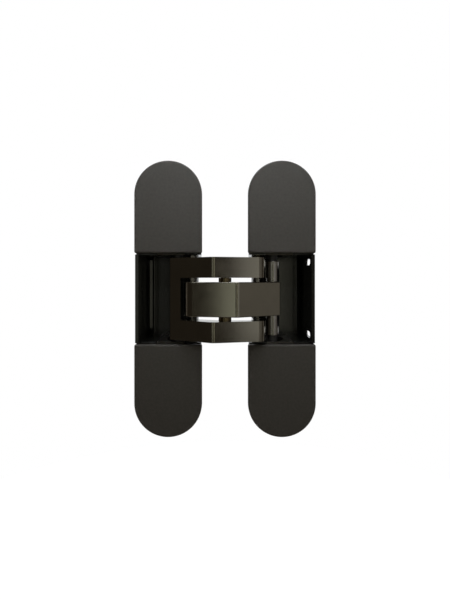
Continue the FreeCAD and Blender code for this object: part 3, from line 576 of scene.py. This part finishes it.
class HINGE_OT_caps(Operator):
    """Build the four cover caps: round-ended plates with a rolled front edge and two pegs behind"""

    bl_idname = "hinge.caps"
    bl_label = "Cover caps"

    def execute(self, context):
        edge = context.scene.hinge_sizes.cap_edge / MM
        middle = (CAP_NEAR + CAP_FAR) / 2
        for side, side_word in SIDES:
            for up, word in LEVELS:
                node = f"{side_word}_{word}_cap"
                near, far = CAP_NEAR * side, CAP_FAR * side
                foot, top = CAP_FOOT * up, CAP_TOP * up
                corners = [(near, foot, CAP_FOOT_ROUND), (far, foot, CAP_FOOT_ROUND),
                           (far, top, CAP_TOP_ROUND), (near, top, CAP_TOP_ROUND)]
                surface = Surface(facing=True)
                surface.prism(rounded_outline(corners, steps=24), [], 0.0, CAP_THICKNESS,
                              (edge, CAP_BACK_ROUND))
                for offset in (-PEG_OFFSET, PEG_OFFSET):
                    surface.bar(PEG_RADIUS, PEG_START, PEG_END, PEG_ROUND,
                                middle * side + offset, PEG_HEIGHT * up, steps=24)
                finish_piece(f"{node}_plate", surface.make(node), node)
        return {"FINISHED"}


def arm_outline(hand):
    """Plan outline of an arm, mirrored for hand -1, always anticlockwise."""
    return rounded_outline([(x * hand, y, radius) for x, y, radius in ARM_CORNERS])


class HINGE_OT_middle_arm(Operator):
    """Build the middle arm as a prism of its plan outline with three bores and rounded rims"""

    bl_idname = "hinge.middle_arm"
    bl_label = "Middle arm"

    def execute(self, context):
        edge = context.scene.hinge_sizes.arm_edge / MM
        bores = [circle_outline(-PIVOT[0], PIVOT[1], PIVOT_BORE),
                 circle_outline(*CENTRE, CENTRE_BUSH_BORE), circle_outline(*SLIDER, SLIDER_BORE)]
        surface = Surface()
        surface.prism(arm_outline(-1), bores, -MIDDLE_HALF, MIDDLE_HALF, (edge, edge), BORE_ROUND)
        finish_piece("middle_arm_bar", surface.make("middle_arm"), "middle_arm")
        return {"FINISHED"}


class HINGE_OT_fork_arm(Operator):
    """Build the fork: the plan outline in three storeys, the middle one only a web, edges broken"""

    bl_idname = "hinge.fork_arm"
    bl_label = "Fork arm"

    def fork_plan(self):
        """The arm's outline with a point where it crosses the web's face, the web's points first.

        A crossing lies at the share (web - x) / (next x - x) of its side. Returns the outline and
        how many of its points bound the web.
        """
        outline = arm_outline(1)
        offset = outline[:, 0] - FORK_WEB_X
        crossed = np.flatnonzero(offset * np.roll(offset, -1) < 0)
        first, second = outline[crossed], np.roll(outline, -1, axis=0)[crossed]
        share = (FORK_WEB_X - first[:, 0]) / (second[:, 0] - first[:, 0])
        crossing = first + (second - first) * share[:, None]
        outline = np.insert(outline, crossed + 1, crossing, axis=0)
        on_web = outline[:, 0] <= FORK_WEB_X + 1e-9
        start = np.flatnonzero(on_web & ~np.roll(on_web, 1))[0]
        return np.roll(outline, -start, axis=0), np.count_nonzero(on_web)

    def execute(self, context):
        outline, web = self.fork_plan()
        levels = np.array([-FORK_HALF, -FORK_SLOT_HALF, FORK_SLOT_HALF, FORK_HALF])
        flat = np.zeros(2)
        surface = Surface()
        outer, inner = [], []
        for pair in (levels[:2], levels[2:]):
            rings = (outline, circle_outline(*PIVOT, PIVOT_BORE),
                     circle_outline(*CENTRE, CENTRE_PIN_BORE))
            walls = [surface.grid(wall_rows(ring, pair, flat)) for ring in rings]
            outside, inside = (0, 1) if pair[0] < 0 else (1, 0)
            outer.append([wall[outside] for wall in walls])
            inner.append([wall[inside] for wall in walls])
        # The slider's bore runs through the web in one length, so only its ends reach the lids.
        slider = surface.grid(wall_rows(circle_outline(-SLIDER[0], SLIDER[1], SLIDER_BORE),
                                        levels[::3], flat))
        below, above = inner[0][0], inner[1][0]
        surface.quads_between(below[:web], above[:web])
        surface.quads_between(below[[web - 1, 0]], above[[web - 1, 0]])
        for rings, bore in zip(outer, slider):
            surface.lid(*rings, bore)
        for rings in inner:
            surface.lid(np.concatenate([rings[0][web - 1:], rings[0][:1]]), *rings[1:])
        finish_piece("fork_arm_bar", surface.make("fork_arm"), "fork_arm",
                     bevel=context.scene.hinge_sizes.arm_edge)
        return {"FINISHED"}


class HINGE_OT_pins(Operator):
    """Build the pins as ground bars with rounded rims"""

    bl_idname = "hinge.pins"
    bl_label = "Pins"

    def execute(self, context):
        for node, radius, half, x, y in PINS:
            surface = Surface()
            surface.bar(radius, -half, half, PIN_ROUND, x, y)
            finish_piece(f"{node}_bar", surface.make(node), node)
        return {"FINISHED"}


class HINGE_OT_rings(Operator):
    """Build the sleeves, washers and bushes as tubes with rounded rims"""

    bl_idname = "hinge.rings"
    bl_label = "Sleeves and washers"

    def execute(self, context):
        for node, inner, outer, low, high, x, y in RINGS:
            surface = Surface()
            surface.tube(inner, outer, low, high, RING_ROUND, x, y)
            if low > 0:
                surface.tube(inner, outer, -high, -low, RING_ROUND, x, y)
            finish_piece(f"{node}_tube", surface.make(node), node)
        return {"FINISHED"}


class HINGE_OT_stage(Operator):
    """Set the floor, the soft lights, the white surroundings and the camera of the photograph"""

    bl_idname = "hinge.stage"
    bl_label = "Studio"

    def execute(self, context):
        scene = context.scene
        scene.view_settings.view_transform = "Standard"
        self.add_floor(scene)
        self.add_surroundings(scene)
        for row in SOFT_BOXES:
            self.add_soft_box(scene, *row)
        self.add_camera(scene, scene.hinge_sizes.camera_distance)
        return {"FINISHED"}

    def add_floor(self, scene):
        """A disc below the hinge that glows white to the camera only and keeps a soft shadow."""
        bm = bmesh.new()
        bmesh.ops.create_circle(bm, cap_ends=True, segments=96, radius=FLOOR_RADIUS)
        mesh = bpy.data.meshes.new("studio_floor")
        bm.to_mesh(mesh)
        bm.free()
        floor = bpy.data.objects.new("studio_floor", mesh)
        scene.collection.objects.link(floor)
        floor.location = (0, 0, CAD_BOX[0][2] - FLOOR_DROP)
        paint = bpy.data.materials.new("floor_paint")
        paint.use_nodes = True
        nodes = paint.node_tree.nodes
        links = paint.node_tree.links
        shader = nodes["Principled BSDF"]
        shader.inputs["Base Color"].default_value = FLOOR_COLOUR
        shader.inputs["Roughness"].default_value = 0.9
        shader.inputs["Specular IOR Level"].default_value = 0.1
        shader.inputs["Emission Color"].default_value = WHITE
        sight = nodes.new("ShaderNodeLightPath")
        glow = nodes.new("ShaderNodeMath")
        glow.operation = "MULTIPLY"
        glow.inputs[1].default_value = FLOOR_GLOW
        links.new(sight.outputs["Is Camera Ray"], glow.inputs[0])
        links.new(glow.outputs[0], shader.inputs["Emission Strength"])
        mesh.materials.append(paint)

    def add_surroundings(self, scene):
        """White to the camera; to the object dim and warm in front, bright behind."""
        world = bpy.data.worlds.new("studio")
        scene.world = world
        world.use_nodes = True
        nodes = world.node_tree.nodes
        links = world.node_tree.links
        back = nodes["Background"]
        tint = nodes.new("ShaderNodeMix")
        tint.data_type = "RGBA"
        tint.inputs[MIX_FIRST].default_value = FRONT_TINT
        tint.inputs[MIX_SECOND].default_value = BEHIND_TINT
        links.new(tint.outputs[MIX_RESULT], back.inputs["Color"])
        heading = nodes.new("ShaderNodeTexCoord")
        parts = nodes.new("ShaderNodeSeparateXYZ")
        links.new(heading.outputs["Generated"], parts.inputs[0])
        behind = nodes.new("ShaderNodeMapRange")
        behind.interpolation_type = "SMOOTHSTEP"
        behind.inputs["From Min"].default_value = BEHIND_FROM
        behind.inputs["From Max"].default_value = BEHIND_TO
        behind.inputs["To Min"].default_value = FRONT_STRENGTH
        behind.inputs["To Max"].default_value = BEHIND_STRENGTH
        links.new(parts.outputs["Y"], behind.inputs["Value"])
        links.new(behind.outputs["Result"], back.inputs["Strength"])
        links.new(behind.outputs["Result"], tint.inputs["Factor"])
        seen = nodes.new("ShaderNodeBackground")
        seen.inputs["Color"].default_value = WHITE
        path = nodes.new("ShaderNodeLightPath")
        mix = nodes.new("ShaderNodeMixShader")
        links.new(path.outputs["Is Camera Ray"], mix.inputs[0])
        links.new(back.outputs[0], mix.inputs[1])
        links.new(seen.outputs[0], mix.inputs[2])
        links.new(mix.outputs[0], nodes["World Output"].inputs["Surface"])

    def add_soft_box(self, scene, name, azimuth, elevation, reach, width, height, radiance,
                     colour, aim, spread):
        """A lamp at a bearing and distance, turned to a point on the hinge's middle line.

        Its power is the radiance times pi times its area.
        """
        lamp = bpy.data.lights.new(name, "AREA")
        lamp.shape = "RECTANGLE"
        lamp.size = width
        lamp.size_y = height
        lamp.energy = radiance * math.pi * width * height
        lamp.color = colour
        lamp.spread = math.radians(spread)
        item = bpy.data.objects.new(name, lamp)
        scene.collection.objects.link(item)
        turn, rise = math.radians(azimuth), math.radians(elevation)
        place = np.array([math.sin(turn) * math.cos(rise), -math.cos(turn) * math.cos(rise),
                          math.sin(rise)]) * reach
        item.location = place
        direction = np.array([0.0, 0.0, aim]) - place
        yaw = math.atan2(-direction[0], direction[1])
        pitch = math.atan2(direction[2], math.hypot(direction[0], direction[1]))
        item.rotation_euler = (math.pi / 2 + pitch, 0, yaw)

    def add_camera(self, scene, distance):
        """The photograph's camera, whose lens keeps the caps' scale at any distance."""
        camera = bpy.data.cameras.new("camera")
        camera.sensor_width = SENSOR_MM
        camera.lens = PIXELS_PER_METRE * distance * SENSOR_MM / PICTURE_PIXELS
        camera.shift_y = CAMERA_SHIFT_PIXELS / PICTURE_PIXELS
        camera.clip_start = CAMERA_CLIP
        item = bpy.data.objects.new("camera", camera)
        scene.collection.objects.link(item)
        item.location = (0.0, -distance, CAMERA_RISE)
        item.rotation_euler = (math.pi / 2, 0, 0)
        scene.camera = item


class HINGE_PT_panel(Panel):
    """Sidebar panel with the sizes, the colours and a button for each group of pieces"""

    bl_idname = "HINGE_PT_panel"
    bl_label = "Concealed hinge"
    bl_space_type = "VIEW_3D"
    bl_region_type = "UI"
    bl_category = "Hinge"

    def draw(self, context):
        for group in (context.scene.hinge_sizes, context.scene.hinge_colours):
            for name in group.__annotations__:
                self.layout.prop(group, name)
        for operator in OPERATORS:
            self.layout.operator(operator.bl_idname)


OPERATORS = (HINGE_OT_materials, HINGE_OT_castings, HINGE_OT_caps, HINGE_OT_middle_arm,
             HINGE_OT_fork_arm, HINGE_OT_pins, HINGE_OT_rings, HINGE_OT_stage)
CLASSES = (HingeSizes, HingeColours) + OPERATORS + (HINGE_PT_panel,)


def register():
    for item in CLASSES:
        bpy.utils.register_class(item)
    bpy.types.Scene.hinge_sizes = PointerProperty(type=HingeSizes)
    bpy.types.Scene.hinge_colours = PointerProperty(type=HingeColours)


def unregister():
    del bpy.types.Scene.hinge_colours
    del bpy.types.Scene.hinge_sizes
    for item in reversed(CLASSES):
        bpy.utils.unregister_class(item)


def main():
    register()
    bpy.ops.hinge.materials()
    bpy.ops.hinge.castings()
    bpy.ops.hinge.caps()
    bpy.ops.hinge.middle_arm()
    bpy.ops.hinge.fork_arm()
    bpy.ops.hinge.pins()
    bpy.ops.hinge.rings()
    bpy.ops.hinge.stage()


if __name__ == "__main__":
    main()
